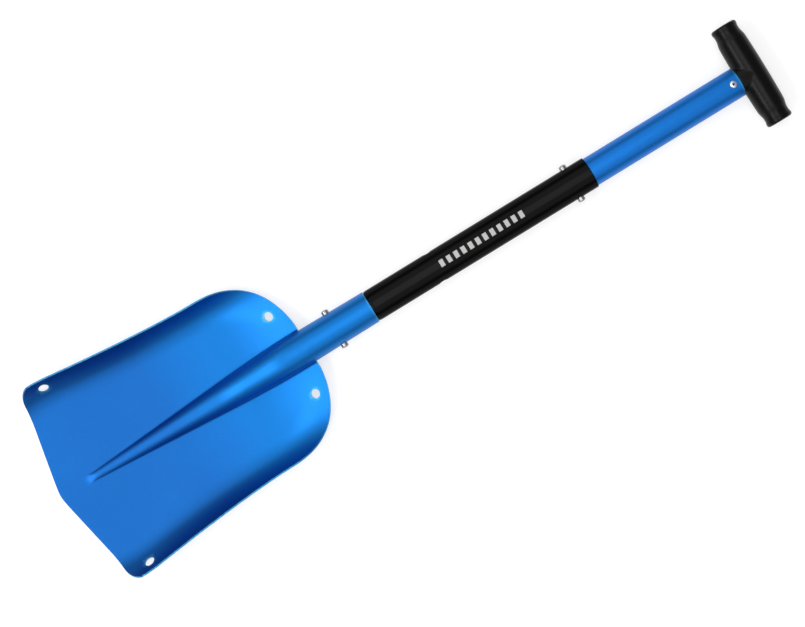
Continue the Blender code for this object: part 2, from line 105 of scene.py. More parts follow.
# %% Add the camera
SHAFT_CLIMB = radians(31.5)
CAMERA_HEIGHT = 1.9
CAMERA_X = 0.0218
CAMERA_AT = 0.3815
VIEW_WIDTH = 0.787


def add_camera():
    """A camera straight above, whose lens frames VIEW_WIDTH at the height of the shaft."""
    data = bpy.data.cameras.new("camera")
    data.sensor_width = 36.0
    data.lens = data.sensor_width * (CAMERA_HEIGHT - SHAFT_Z) / VIEW_WIDTH
    camera = bpy.data.objects.new("camera", data)
    camera.location = (CAMERA_X, at_station(CAMERA_AT), CAMERA_HEIGHT)
    camera.rotation_euler = (0, 0, pi / 2 - SHAFT_CLIMB)
    bpy.context.scene.collection.objects.link(camera)
    bpy.context.scene.camera = camera
    return camera


camera = add_camera()
print("lens in mm:", round(camera.data.lens, 1))

# %% [markdown]
# ## Material helpers
# Every finish starts from the same few nodes: object coordinates, one or two noises and a bump. Object
# coordinates are in metres, so a noise scale of 1000 makes grains about a millimetre across.

# %% Node helpers


def start_material(name):
    """A new material with its shader and the object coordinates that its patterns read."""
    material = bpy.data.materials.new(name)
    material.use_nodes = True
    nodes = material.node_tree.nodes
    shader = nodes["Principled BSDF"]
    coordinates = nodes.new("ShaderNodeTexCoord").outputs["Object"]
    return material, material.node_tree, shader, coordinates


def stretched(tree, coordinates, scale):
    """Coordinates stretched along an axis, so that a noise becomes streaks."""
    mapping = tree.nodes.new("ShaderNodeMapping")
    mapping.inputs["Scale"].default_value = scale
    tree.links.new(coordinates, mapping.inputs["Vector"])
    return mapping.outputs["Vector"]


def noise(tree, vector, scale, detail, rough=0.55):
    texture = tree.nodes.new("ShaderNodeTexNoise")
    texture.inputs["Scale"].default_value = scale
    texture.inputs["Detail"].default_value = detail
    texture.inputs["Roughness"].default_value = rough
    tree.links.new(vector, texture.inputs["Vector"])
    return texture.outputs["Fac"]


def remap(tree, value, low, high, to_low, to_high):
    """A value's range moved to another, and held at both ends."""
    node = tree.nodes.new("ShaderNodeMapRange")
    tree.links.new(value, node.inputs["Value"])
    for name, number in zip(("From Min", "From Max", "To Min", "To Max"), (low, high, to_low, to_high)):
        node.inputs[name].default_value = number
    return node.outputs["Result"]


def math_node(tree, operation, first, second):
    """A Math node on two values, each of them a socket or a number."""
    node = tree.nodes.new("ShaderNodeMath")
    node.operation = operation
    for slot, value in zip(node.inputs, (first, second)):
        if isinstance(value, (int, float)):
            slot.default_value = value
        else:
            tree.links.new(value, slot)
    return node.outputs["Value"]


def blend_colours(tree, factor, first, second):
    """A colour between two, each of them a socket or an RGBA colour."""
    node = tree.nodes.new("ShaderNodeMix")
    node.data_type = "RGBA"
    tree.links.new(factor, node.inputs["Factor"])
    for slot, value in ((node.inputs[6], first), (node.inputs[7], second)):
        if isinstance(value, tuple):
            slot.default_value = value
        else:
            tree.links.new(value, slot)
    return node.outputs[2]


def bump(tree, shader, height, distance, strength):
    """A relief added to any that the shader has."""
    node = tree.nodes.new("ShaderNodeBump")
    node.inputs["Distance"].default_value = distance
    node.inputs["Strength"].default_value = strength
    tree.links.new(height, node.inputs["Height"])
    if shader.inputs["Normal"].is_linked:
        tree.links.new(shader.inputs["Normal"].links[0].from_socket, node.inputs["Normal"])
    tree.links.new(node.outputs["Normal"], shader.inputs["Normal"])


print("material helpers ready")

# %% [markdown]
# ## Blue anodised aluminium
# Anodising grows a thin glassy layer in the metal and dyes it. What shows is still metal, so the shader
# is mostly metallic, with a blue base. The etch before the bath leaves a fine satin grain, and the dye
# takes a little unevenly: it wanders over a hand's width. On top of that the colour is painted darker
# towards the blade's point and lighter towards its rear: painted light and shade for the way the panels
# light the raised rear. Along cut edges the layer is thin and chipped, so a lighter metal shows. Skins
# carry a value named cut_edge there.

# %% Make the blue finish
# Stations over which the painted shade at the point gives way to the painted light at the rear.
PAINTED_LIGHT_FROM = 0.130
PAINTED_LIGHT_TO = 0.215
FLECK_BLUE = (0.02, 0.25, 0.70, 1)
WORN_BLUE = (0.07, 0.33, 0.52, 1)


def blue_anodised(name, drawn, front, rear):
    """Dyed satin aluminium with painted light: darker towards the front, lighter towards the rear. Drawn
    tube has faint lines.
    """
    material, tree, shader, place = start_material(name)
    split = tree.nodes.new("ShaderNodeSeparateXYZ")
    tree.links.new(place, split.inputs["Vector"])
    # Painted light: the colour runs from the painted shade blue at the point to the painted light blue at
    # the rear, and a random cloud is added on top.
    painted_light_and_tone = remap(tree, split.outputs["Y"], at_station(PAINTED_LIGHT_FROM), at_station(PAINTED_LIGHT_TO), 0, 1)
    cloud = noise(tree, place, 14.0, 2.0)
    painted_light_and_tone = math_node(tree, "ADD", painted_light_and_tone, remap(tree, cloud, 0.3, 0.7, -0.12, 0.12))
    colour = blend_colours(tree, painted_light_and_tone, front, rear)
    fleck = noise(tree, place, 420.0, 4.0, 0.7)
    colour = blend_colours(tree, remap(tree, fleck, 0.58, 0.8, 0, 0.3), colour, FLECK_BLUE)
    edge = tree.nodes.new("ShaderNodeAttribute")
    edge.attribute_name = "cut_edge"
    nicks = noise(tree, place, 260.0, 4.0, 0.7)
    worn = math_node(tree, "MULTIPLY", edge.outputs["Fac"], remap(tree, nicks, 0.35, 0.6, 0.25, 0.8))
    tree.links.new(blend_colours(tree, worn, colour, WORN_BLUE), shader.inputs["Base Color"])
    shader.inputs["Metallic"].default_value = 0.9
    tree.links.new(remap(tree, cloud, 0.25, 0.75, 0.37, 0.43), shader.inputs["Roughness"])
    grain = noise(tree, place, 2600.0, 2.0)
    bump(tree, shader, grain, 0.00002, 0.5)
    if drawn:
        lines = noise(tree, stretched(tree, place, (1, 0.012, 1)), 1800.0, 2.0)
        bump(tree, shader, lines, 0.00002, 0.6)
    return material


# The painted shade blue at the point, the painted light blue at the blade's rear, and the blue of the upper
# tube, which lies wholly beyond the painted gradient.
PAINTED_SHADE_BLUE = (0.0075, 0.107, 0.390, 1)
PAINTED_LIGHT_BLUE = (0.0055, 0.150, 0.485, 1)
MIDDLE_BLUE = (0.0080, 0.156, 0.545, 1)
BLADE_BLUE = blue_anodised("blue_anodised_sheet", False, PAINTED_SHADE_BLUE, PAINTED_LIGHT_BLUE)
TUBE_BLUE = blue_anodised("blue_anodised_tube", True, PAINTED_SHADE_BLUE, MIDDLE_BLUE)
print("made", BLADE_BLUE.name, "and", TUBE_BLUE.name)

# %% [markdown]
# ## Black anodised tube with a plain printed panel
# The middle tube is the same metal dyed black. A row of plain pale bars is screen printed on its face,
# where a maker's panel goes. The print is only ink, so it is a mask in the colour and not a shape. The
# specular tint dims the bright rim that metal shows at a glancing angle.

# %% Make the black tube finish
PRINT_FROM = 0.4375
PRINT_HALF_WIDTH = 0.0036
PRINT_PITCH = 0.0082
PRINT_FILL = 0.55
PRINT_BARS = 12
PRINT_END_GAP = 0.002
PRINT_TO = PRINT_FROM + PRINT_BARS * PRINT_PITCH - PRINT_END_GAP
INK = (0.46, 0.46, 0.45, 1)


def print_mask(tree, place):
    """1 on the pale bars, which lie across the front of the tube, and 0 elsewhere."""
    split = tree.nodes.new("ShaderNodeSeparateXYZ")
    tree.links.new(place, split.inputs["Vector"])
    x, y, z = (split.outputs[axis] for axis in "XYZ")
    inside = math_node(tree, "LESS_THAN", math_node(tree, "ABSOLUTE", x, 0.0), PRINT_HALF_WIDTH)
    after = math_node(tree, "GREATER_THAN", y, at_station(PRINT_FROM))
    before = math_node(tree, "LESS_THAN", y, at_station(PRINT_TO))
    front = math_node(tree, "GREATER_THAN", z, SHAFT_Z)
    along = math_node(tree, "DIVIDE", math_node(tree, "SUBTRACT", y, at_station(PRINT_FROM)), PRINT_PITCH)
    bars = math_node(tree, "LESS_THAN", math_node(tree, "FRACT", along, 0.0), PRINT_FILL)
    mask = inside
    for part in (after, before, front, bars):
        mask = math_node(tree, "MULTIPLY", mask, part)
    return mask


def black_anodised():
    """Black dyed drawn tube, with faint lines along it and the printed bars on its face."""
    material, tree, shader, place = start_material("black_anodised_tube")
    cloud = noise(tree, place, 18.0, 2.0)
    metal = blend_colours(tree, cloud, (0.0070, 0.0070, 0.0072, 1), (0.0095, 0.0095, 0.0098, 1))
    ink = print_mask(tree, place)
    worn = noise(tree, place, 1500.0, 3.0, 0.7)
    ink = math_node(tree, "MULTIPLY", ink, remap(tree, worn, 0.30, 0.42, 0.55, 1.0))
    tree.links.new(blend_colours(tree, ink, metal, INK), shader.inputs["Base Color"])
    tree.links.new(remap(tree, ink, 0, 1, 1, 0), shader.inputs["Metallic"])
    streaks = noise(tree, stretched(tree, place, (1, 0.012, 1)), 1500.0, 3.0)
    satin = remap(tree, streaks, 0.3, 0.7, 0.17, 0.23)
    satin = math_node(tree, "ADD", satin, math_node(tree, "MULTIPLY", ink, 0.3))
    tree.links.new(satin, shader.inputs["Roughness"])
    shader.inputs["Specular Tint"].default_value = (0.6, 0.6, 0.6, 1)
    bump(tree, shader, streaks, 0.00002, 0.5)
    return material


TUBE_BLACK = black_anodised()
print("made", TUBE_BLACK.name)

# %% [markdown]
# ## Moulded plastic, bright steel and rivet alloy
# The grip is glass-filled nylon. Its mould was spark eroded, which prints a fine leather-like grain. The
# snap buttons are polished and plated. The springs are rolled strip, and the rivets plain aluminium.

# %% Make the small finishes


def moulded_black():
    """Dark plastic with a fine grain, and a raised parting line at the height of the shaft."""
    material, tree, shader, place = start_material("moulded_black")
    cloud = noise(tree, place, 60.0, 2.0)
    colour = blend_colours(tree, cloud, (0.0003, 0.0003, 0.0003, 1), (0.0009, 0.0009, 0.0010, 1))
    tree.links.new(colour, shader.inputs["Base Color"])
    grain = noise(tree, place, 1700.0, 3.0, 0.6)
    tree.links.new(remap(tree, grain, 0.3, 0.7, 0.27, 0.36), shader.inputs["Roughness"])
    shader.inputs["Specular IOR Level"].default_value = 0.17
    bump(tree, shader, grain, 0.00006, 0.6)
    split = tree.nodes.new("ShaderNodeSeparateXYZ")
    tree.links.new(place, split.inputs["Vector"])
    off = math_node(tree, "ABSOLUTE", math_node(tree, "SUBTRACT", split.outputs["Z"], SHAFT_Z), 0.0)
    bump(tree, shader, remap(tree, off, 0.00012, 0.00035, 1, 0), 0.00012, 0.8)
    return material


def bright_metal(name, colour, smooth, rough, scale):
    """Steel or alloy whose roughness changes in fine scuffs."""
    material, tree, shader, place = start_material(name)
    scuff = noise(tree, place, scale, 4.0, 0.65)
    darker = tuple(0.82 * part for part in colour[:3]) + (1,)
    tree.links.new(blend_colours(tree, scuff, darker, colour), shader.inputs["Base Color"])
    shader.inputs["Metallic"].default_value = 1.0
    tree.links.new(remap(tree, scuff, 0.3, 0.7, smooth, rough), shader.inputs["Roughness"])
    bump(tree, shader, scuff, 0.00001, 0.5)
    return material


GRIP_BLACK = moulded_black()
BUTTON_STEEL = bright_metal("plated_steel", (0.40, 0.40, 0.41, 1), 0.20, 0.32, 900.0)
SPRING_STEEL = bright_metal("spring_strip", (0.46, 0.46, 0.48, 1), 0.26, 0.40, 700.0)
RIVET_ALLOY = bright_metal("rivet_alloy", (0.70, 0.71, 0.72, 1), 0.24, 0.38, 1200.0)
# The rivet pin's near-black colour is painted shade for the dark inside the rivet's bore, not the colour of
# steel.
PAINTED_SHADE_PIN_STEEL = bright_metal("mandrel_steel", (0.045, 0.045, 0.05, 1), 0.40, 0.60, 2000.0)
print("made", len(bpy.data.materials), "materials")

# %% [markdown]
# ## Helpers for pieces
# A piece is made in a bmesh, stays at the origin with its place in its mesh, and rides on a body of the
# frame. Most pieces here are turned: a short outline is spun round the shaft, or across it. Rows of faces
# along the tubes are about 2 mm apart, and a gap of 0.3 mm stands for parts that touch.

# %% Piece helpers
PIECES = []
SHARP_ANGLE = radians(40)
ROW_STEP = 0.0022
TUBE_STEPS = 96
FIT_GAP = 0.0003


def finish_piece(bm, name, material, body, slot, *nodes):
    """Turn a bmesh into a smooth named piece that rides on a body and stands for frame nodes."""
    mesh = bpy.data.meshes.new(name)
    bm.to_mesh(mesh)
    bm.free()
    mesh.materials.append(material)
    mesh.shade_smooth()
    piece = bpy.data.objects.new(name, mesh)
    bpy.context.scene.collection.objects.link(piece)
    if body:
        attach(piece, body)
    if nodes:
        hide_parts(*nodes)
    PIECES.append(piece)
    return piece


def mark_cut_edges(bm):
    """Give the open rims of a skin the value that the finish reads as worn edges."""
    layer = bm.verts.layers.float.new("cut_edge")
    for vert in bm.verts:
        vert[layer] = 1.0 if vert.is_boundary else 0.0


def add_wall(piece, thickness):
    """Give an open skin its thickness on the inside."""
    solid = piece.modifiers.new("wall", "SOLIDIFY")
    solid.thickness = thickness
    solid.offset = -1
    solid.use_even_offset = True


def round_edges(piece, width):
    """Break every sharp edge with a small bevel that keeps the flats flat to the light."""
    bevel = piece.modifiers.new("broken_edges", "BEVEL")
    bevel.width = width
    bevel.segments = 2
    bevel.limit_method = "ANGLE"
    bevel.angle_limit = SHARP_ANGLE
    bevel.harden_normals = True
    bevel.miter_outer = "MITER_ARC"


def turned(profile, place, steps):
    """A bmesh of an outline of (radius, height) points spun round Z, and moved to its place."""
    bm = bmesh.new()
    verts = [bm.verts.new((radius, 0, height)) for radius, height in profile]
    for first, second in zip(verts, verts[1:]):
        bm.edges.new((first, second))
    bmesh.ops.spin(
        bm, geom=bm.verts[:] + bm.edges[:], axis=(0, 0, 1), cent=(0, 0, 0),
        angle=2 * pi, steps=steps, use_merge=True,
    )
    bmesh.ops.remove_doubles(bm, verts=bm.verts, dist=1e-7)
    bmesh.ops.recalc_face_normals(bm, faces=bm.faces)
    bmesh.ops.transform(bm, matrix=place, verts=bm.verts)
    return bm


def along_shaft():
    """Turned shapes with heights as stations, laid along the shaft."""
    return Matrix.Translation((0, TIP_Y, SHAFT_Z)) @ Matrix.Rotation(-pi / 2, 4, "X")


def evenly(start, end, step):
    """Stations from start to end that are about a step apart."""
    count = max(1, round(abs(end - start) / step))
    return [start + (end - start) * i / count for i in range(count + 1)]


print("piece helpers ready")

# %% [markdown]
# ## Punched holes
# A hole punched in a curved skin needs a clean ring of faces round it, or it dents the highlights. A
# Boolean leaves long thin triangles there. So the faces round the hole are taken out, a circle is laid
# on the skin, and the two loops are bridged.

# %% Punch a round hole in a skin
HOLE_STEPS = 36
CLEAR_RING = 1.32


def punch(bm, centre, normal, radius, onto_skin):
    """Open a round hole. onto_skin moves a point to the exact surface."""
    normal = Vector(normal).normalized()

    def away(point):
        arm = point - Vector(centre)
        depth = arm.dot(normal)
        return (arm - depth * normal).length if abs(depth) < 2.5 * radius else 1.0

    gone = [face for face in bm.faces if min(away(v.co) for v in face.verts) < radius * CLEAR_RING]
    rim = {edge for face in gone for edge in face.edges}
    bmesh.ops.delete(bm, geom=gone, context="FACES")
    rim = [edge for edge in rim if edge.is_valid and len(edge.link_faces) == 1]
    stand = Vector((0, 0, 1)).rotation_difference(normal).to_matrix().to_4x4()
    circle = bmesh.ops.create_circle(
        bm, segments=HOLE_STEPS, radius=radius, matrix=Matrix.Translation(centre) @ stand
    )
    edges = {edge for vert in circle["verts"] for edge in vert.link_edges}
    for vert in circle["verts"]:
        vert.co = onto_skin(vert.co)
    bmesh.ops.bridge_loops(bm, edges=rim + list(edges))
    return len(gone)


print("punch ready")

# %% [markdown]
# ## The blade's shape
# The blade is one sheet of aluminium. A press gives it a flat floor, curled side walls and a rear that
# rises to the shaft, and draws a hollow rib down its middle. The tail of the same sheet is rolled into
# the socket. It could be modelled by pulling a cage about by hand, but every section of it follows a
# simple rule, so here a flat grid is bent row by row: each row is a section across the blade.
#
# First its outline, in metres from the middle and from the point.

# %% Outline of the blade
FRONT_HALF = 0.1068
FRONT_AT = 0.043
SHOULDER_HALF = 0.0921
SHOULDER_AT = 0.209
ARCH_END = 0.2866
ARCH_POWER = 2.55
ARCH_LAST = radians(79)
SWEEP = 0.202
POINT_ROUND = 0.0055
CORNER_RADIUS = 0.017
SIDE_LEAN = radians(0.7)
FLARE_POWER = 1.5
TUCK = 0.0013
TUCK_FROM = 0.055
TUCK_TO = 0.034
CORNER_ROUNDS = 6
CORNER_STEPS, SIDE_STEPS, ARCH_STEPS = 14, 64, 30
SIDE_SPACING = 1.1
ARCH_SPACING = 1.15


def ease(t):
    """A smooth step from 0 to 1."""
    t = min(max(t, 0.0), 1.0)
    return t * t * (3 - 2 * t)


def front_edge(x):
    """Station of the shallow V of the front edge, whose point is rounded."""
    return SWEEP * (sqrt(x * x + POINT_ROUND**2) - POINT_ROUND)


def side_half(station):
    """Half width at the side line, which flares to the front and draws in before the corner."""
    reach = max((SHOULDER_AT - station) / (SHOULDER_AT - FRONT_AT), 0.0)
    drawn_in = TUCK * (max(TUCK_FROM - station, 0.0) / (TUCK_FROM - TUCK_TO)) ** 2
    return SHOULDER_HALF + (FRONT_HALF - SHOULDER_HALF) * reach**FLARE_POWER - drawn_in


def corner_centre():
    """Centre of the front corner's round, as (x, station), found by closing in on edge and side."""
    x = FRONT_HALF - CORNER_RADIUS
    for _ in range(CORNER_ROUNDS):
        station = SWEEP * (x - POINT_ROUND) + CORNER_RADIUS * sqrt(1 + SWEEP**2)
        x = side_half(station + CORNER_RADIUS * sin(SIDE_LEAN)) - CORNER_RADIUS * cos(SIDE_LEAN)
    return x, station


def arch_point(angle):
    """Half width and station on the rounded rear, from the side at 0 to the socket."""
    power = 2 / ARCH_POWER
    depth = ARCH_END - SHOULDER_AT
    return SHOULDER_HALF * cos(angle) ** power, SHOULDER_AT + depth * sin(angle) ** power


def edge_rows():
    """For each row: half width, station at the edge, and how much of the front V it follows."""
    centre_x, centre_s = corner_centre()
    start = atan(SWEEP) - pi / 2
    rows = []
    for step in range(CORNER_STEPS + 1):
        angle = start + (SIDE_LEAN - start) * step / CORNER_STEPS
        half = centre_x + CORNER_RADIUS * cos(angle)
        rows.append((half, centre_s + CORNER_RADIUS * sin(angle), 1.0))
    first = rows[-1][1]
    for step in range(1, SIDE_STEPS + 1):
        part = (step / SIDE_STEPS) ** SIDE_SPACING
        station = first + (SHOULDER_AT - first) * part
        rows.append((side_half(station), station, (1 - part) ** 2))
    for step in range(1, ARCH_STEPS + 1):
        rows.append((*arch_point(ARCH_LAST * (step / ARCH_STEPS) ** ARCH_SPACING), 0.0))
    return rows


print("blade rows:", len(edge_rows()))

# %% [markdown]
# Now its relief. The floor is flat as far as the wall's foot, and the wall curls up on a round of about
# 35 mm. Behind the shoulder the wall fades into the rear, which rises to meet the sides of the socket.

# %% Floor and walls
SHEET = 0.0016
WALL_FRONT = 0.029
WALL_SHOULDER = 0.025
WALL_START = 0.66
WALL_LEAN = radians(79)
LEAN_FADE = 4.5
LEAST_LEAN = radians(2)
RISE_FROM = 0.200
RISE = 0.0154
RISE_POWER = 1.8


def wall_at(x, station):
    """Share of the way out to the rim, and the height and lean of the wall's rim there."""
    if station < SHOULDER_AT:
        back = (SHOULDER_AT - station) / SHOULDER_AT
        height = WALL_SHOULDER + (WALL_FRONT - WALL_SHOULDER) * ease(2 * back)
        return abs(x) / side_half(station), height, WALL_LEAN
    across = abs(x) / SHOULDER_HALF
    along = (station - SHOULDER_AT) / (ARCH_END - SHOULDER_AT)
    out = (across**ARCH_POWER + along**ARCH_POWER) ** (1 / ARCH_POWER)
    lean = max(WALL_LEAN * cos(atan2(along, across)) ** LEAN_FADE, LEAST_LEAN)
    return out, WALL_SHOULDER * tan(lean / 2) / tan(WALL_LEAN / 2), lean


def floor_height(x, station):
    """Height of the sheet's upper face beside the rib."""
    rise = RISE * max((station - RISE_FROM) / (ARCH_END - RISE_FROM), 0.0) ** RISE_POWER
    out, height, lean = wall_at(x, station)
    into = min(max((out - WALL_START) / (1 - WALL_START), 0.0), 1.0) * sin(lean)
    return SHEET + rise + height * (1 - sqrt(1 - into**2)) / (1 - cos(lean))


print("rim height in mm:", round(1000 * floor_height(FRONT_HALF, FRONT_AT), 1))

# %% [markdown]
# The rib is a hollow half round that grows from a rounded nose near the point to the full width of the
# socket, with a small fillet at its foot. Each section is built from the floor up: fillet, flank, crown.

# %% Rib
RIB_FROM = 0.029
RIB_NOSE = 0.012
RIB_HALF_START = 0.0050
RIB_HALF_FULL = 0.0203
RIB_WIDEN = 0.0735
RIB_EASE = 0.18
RIB_RATIO_START = 0.30
RIB_RATIO_FULL = 0.85
RIB_FILLET = 0.003
RIB_FLANK = 0.0004
LEAST_HEIGHT = 2e-5
CLIMB_FROM = 0.185
CLIMB_TO = 0.265
ROOT_RADIUS = 0.0174
MOUTH_RADIUS = 0.0167
CROWN_STEPS, FILLET_STEPS, FLOOR_STEPS, WALL_STEPS = 16, 6, 26, 20


def rib_half(station):
    """Half width at the rib's foot: a straight taper that eases into the socket's full width."""
    full = (RIB_HALF_FULL - RIB_HALF_START) / RIB_WIDEN
    along = max(station - RIB_FROM, 0.0) / full
    if along > 1 - RIB_EASE:
        over = min(along - 1 + RIB_EASE, 2 * RIB_EASE)
        along = 1 - RIB_EASE + over - over**2 / (4 * RIB_EASE)
    return RIB_HALF_START + (RIB_HALF_FULL - RIB_HALF_START) * along


def rib_top(station):
    """Height of the rib's crest, which climbs from the floor to the top of the socket."""
    before = min(station, CLIMB_FROM)
    reach = rib_half(before)
    growth = (RIB_RATIO_FULL - RIB_RATIO_START) / (CLIMB_FROM - RIB_FROM)
    ratio = RIB_RATIO_START + growth * max(before - RIB_FROM, 0.0)
    low = SHEET + ratio * reach * ease((station - RIB_FROM) / RIB_NOSE)
    climb = CLIMB_TO - CLIMB_FROM
    t = min(max((station - CLIMB_FROM) / climb, 0.0), 1.0)
    slope = (ratio * RIB_WIDEN + growth * reach) * climb
    return low + (SHAFT_Z + ROOT_RADIUS - low) * ease(t) + slope * t * (1 - t) ** 2


def rib_section(station):
    """Half of the section, from the crest to the floor, as (x, z) points."""
    foot = rib_half(station)
    floor = floor_height(foot, station)
    height = max(rib_top(station) - floor, LEAST_HEIGHT)
    lean = min(2 * atan(height / foot), pi / 2)
    flank = max(height - foot, RIB_FLANK)
    crown = (foot - flank * cos(lean)) / sin(lean) - RIB_FILLET
    edge_x = foot - RIB_FILLET * sin(lean) - flank * cos(lean)
    edge_z = floor + RIB_FILLET * (1 - cos(lean)) + flank * sin(lean)
    points = []
    for step in range(CROWN_STEPS):
        angle = lean * step / CROWN_STEPS
        points.append((crown * sin(angle), edge_z + crown * (cos(angle) - cos(lean))))
    points.append((edge_x, edge_z))
    for step in range(FILLET_STEPS + 1):
        angle = lean * (1 - step / FILLET_STEPS)
        points.append((foot - RIB_FILLET * sin(angle), floor + RIB_FILLET * (1 - cos(angle))))
    return points


print("points in half a rib section:", len(rib_section(0.2)))

# %% [markdown]
# A row joins the rib's section to the floor and the wall. Rows near the front bend with the V of the
# edge. Behind the rear edge the same columns go on as the socket: the crown becomes its upper half, and
# the rest wraps under it to the seam. A notch is left where the flat sheet ends and the tube begins.

# %% Rows of the blade and of the socket
SOCKET_FROM = 0.2886
SEAM_GAP = 0.0008
FLOOR_SHARE = 0.60


def across_shares():
    """Shares of the way from the rib's foot to the rim, closer together up the wall."""
    flat = [FLOOR_SHARE * step / FLOOR_STEPS for step in range(1, FLOOR_STEPS + 1)]
    curl = [sin(WALL_LEAN * step / WALL_STEPS) / sin(WALL_LEAN) for step in range(1, WALL_STEPS + 1)]
    return flat + [FLOOR_SHARE + (1 - FLOOR_SHARE) * part for part in curl]


def blade_row(half, edge_station, follow):
    """One half row, from the middle to the rim, as (x, station, z)."""
    set_back = edge_station - front_edge(half) * follow
    row = []
    for index, (x, _) in enumerate(rib_section(set_back)):
        station = set_back + front_edge(x) * follow
        row.append((x, station, rib_section(station)[index][1]))
    foot = row[-1][0]
    for share in across_shares():
        x = foot + (half - foot) * share
        station = set_back + front_edge(x) * follow
        row.append((x, station, floor_height(x, station)))
    return row


def socket_radius(station):
    """Outside radius of the socket, which tapers a little to its mouth."""
    part = (station - SOCKET_FROM) / (SOCKET_MOUTH - SOCKET_FROM)
    return ROOT_RADIUS + (MOUTH_RADIUS - ROOT_RADIUS) * part


def socket_row(station):
    """One half row of the socket, from its crest round to the seam underneath."""
    radius = socket_radius(station)
    below = 1 + FILLET_STEPS + FLOOR_STEPS + WALL_STEPS
    seam = pi - asin(SEAM_GAP / 2 / radius)
    angles = [pi / 2 * step / CROWN_STEPS for step in range(CROWN_STEPS + 1)]
    angles += [pi / 2 + (seam - pi / 2) * step / below for step in range(1, below + 1)]
    return [(radius * sin(angle), station, SHAFT_Z + radius * cos(angle)) for angle in angles]


print("points in half a row:", len(socket_row(SOCKET_MOUTH)))

# %% [markdown]
# The grid is made flat, its vertices are moved to the rows, and the faces of the notch are taken out.
# The four lashing holes and the two holes for the snap buttons are punched, and only then does the
# sheet get its thickness, so that the holes have true walls.

# %% Build the blade
LASH_HOLES = ((0.0992, 0.0438, 0.00515), (0.0442, 0.2676, 0.0045))
BUTTON_HOLE = 0.0042


def button_place(level):
    """Station and tip distance of a pair of snap buttons, from the frame."""
    low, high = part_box(f"{level}_snap_button_right")
    return station_of((low.y + high.y) / 2), high.x


LOWER_SNAP, LOWER_TIP = button_place("lower")
UPPER_SNAP, UPPER_TIP = button_place("upper")


def onto_sheet(point):
    """A point moved up or down to the blade's upper face."""
    height = floor_height(point.x, station_of(point.y))
    return Vector((point.x, point.y, height))


def sheet_normal(x, station):
    """Direction square to the blade's floor or wall."""
    step = 0.001
    slope_x = (floor_height(x + step, station) - floor_height(x - step, station)) / (2 * step)
    slope_y = (floor_height(x, station + step) - floor_height(x, station - step)) / (2 * step)
    return Vector((-slope_x, -slope_y, 1)).normalized()


def onto_tube(radius_at):
    """A function that moves a point sideways to a round skin whose radius depends on the station."""

    def move(point):
        radius = radius_at(station_of(point.y))
        side = sqrt(max(radius**2 - (point.z - SHAFT_Z) ** 2, 0.0))
        return Vector((side if point.x > 0 else -side, point.y, point.z))

    return move


def blade_skin():
    """The upper face of the blade and the outside of the socket, as one open skin."""
    blade_rows = [blade_row(*row) for row in edge_rows()]
    rows = blade_rows + [socket_row(s) for s in evenly(SOCKET_FROM, SOCKET_MOUTH, ROW_STEP)]
    half, last = len(rows[0]) - 1, len(rows) - 1
    bm = bmesh.new()
    bmesh.ops.create_grid(bm, x_segments=2 * half, y_segments=last, size=1.0)
    notch = []
    for face in bm.faces:
        middle = face.calc_center_median()
        row = int((middle.y + 1) / 2 * last)
        if row == len(blade_rows) - 1 and abs(middle.x) * half > CROWN_STEPS:
            notch.append(face)
    for vert in bm.verts:
        column = round(vert.co.x * half)
        x, station, z = rows[round((vert.co.y + 1) / 2 * last)][abs(column)]
        vert.co = (x if column >= 0 else -x, at_station(station), z)
    bmesh.ops.delete(bm, geom=notch, context="FACES")
    return bm


def make_blade():
    bm = blade_skin()
    for x, station, radius in LASH_HOLES:
        for side in (-1, 1):
            spot = (side * x, at_station(station), floor_height(x, station))
            punch(bm, spot, sheet_normal(side * x, station), radius, onto_sheet)
    for side in (-1, 1):
        spot = (side * socket_radius(LOWER_SNAP), at_station(LOWER_SNAP), SHAFT_Z)
        punch(bm, spot, (side, 0, 0), BUTTON_HOLE, onto_tube(socket_radius))
    bmesh.ops.recalc_face_normals(bm, faces=bm.faces)
    mark_cut_edges(bm)
    blade = finish_piece(bm, "pressed_blade", BLADE_BLUE, "blade", "blue_anodised", "blade")
    add_wall(blade, SHEET)
    round_edges(blade, 0.00035)
    return blade


blade = make_blade()
print("blade skin faces:", len(blade.data.polygons))

# %% [markdown]
# ## Shaft tubes
# Each tube is an open skin spun round the shaft, with rows close enough to punch clean holes, and a wall
# on the inside. The middle tube's lower end is swaged down to slip into the socket, and its shoulder
# stops it at the mouth. Its second pair of holes, for a short shaft, is a little wider, so that the
# buttons clear their rims at the very end of the slide.

# %% Middle tube
MIDDLE_RADIUS = (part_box("middle_tube")[1].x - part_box("middle_tube")[0].x) / 2
NECK_RADIUS = 0.0148
MIDDLE_WALL = 0.0010
TUBE_EDGE = 0.00022
SHOULDER_FROM = SOCKET_MOUTH + FIT_GAP
SHOULDER_LENGTH = 0.0035
SHORT_SNAP = 0.4322
SHORT_HOLE = BUTTON_HOLE + 0.0004


def middle_radius(station):
    return NECK_RADIUS if station < SHOULDER_FROM else MIDDLE_RADIUS


def middle_profile():
    """Outline from the neck's end to the top: a lead-in, the neck, the shoulder and the tube."""
    neck = [(NECK_RADIUS, s) for s in evenly(MIDDLE_END + 0.0015, SHOULDER_FROM - 0.0006, ROW_STEP)]
    shoulder = [
        (NECK_RADIUS + 0.0001, SHOULDER_FROM - 0.0001),
        (MIDDLE_RADIUS - 0.0008, SHOULDER_FROM),
        (MIDDLE_RADIUS - 0.0004, SHOULDER_FROM + 0.0005),
        (MIDDLE_RADIUS - 0.00012, SHOULDER_FROM + 0.0016),
        (MIDDLE_RADIUS, SHOULDER_FROM + SHOULDER_LENGTH),
    ]
    body = [(MIDDLE_RADIUS, s) for s in evenly(shoulder[-1][1], MIDDLE_TOP, ROW_STEP)[1:]]
    return [(NECK_RADIUS - 0.0004, MIDDLE_END)] + neck + shoulder + body


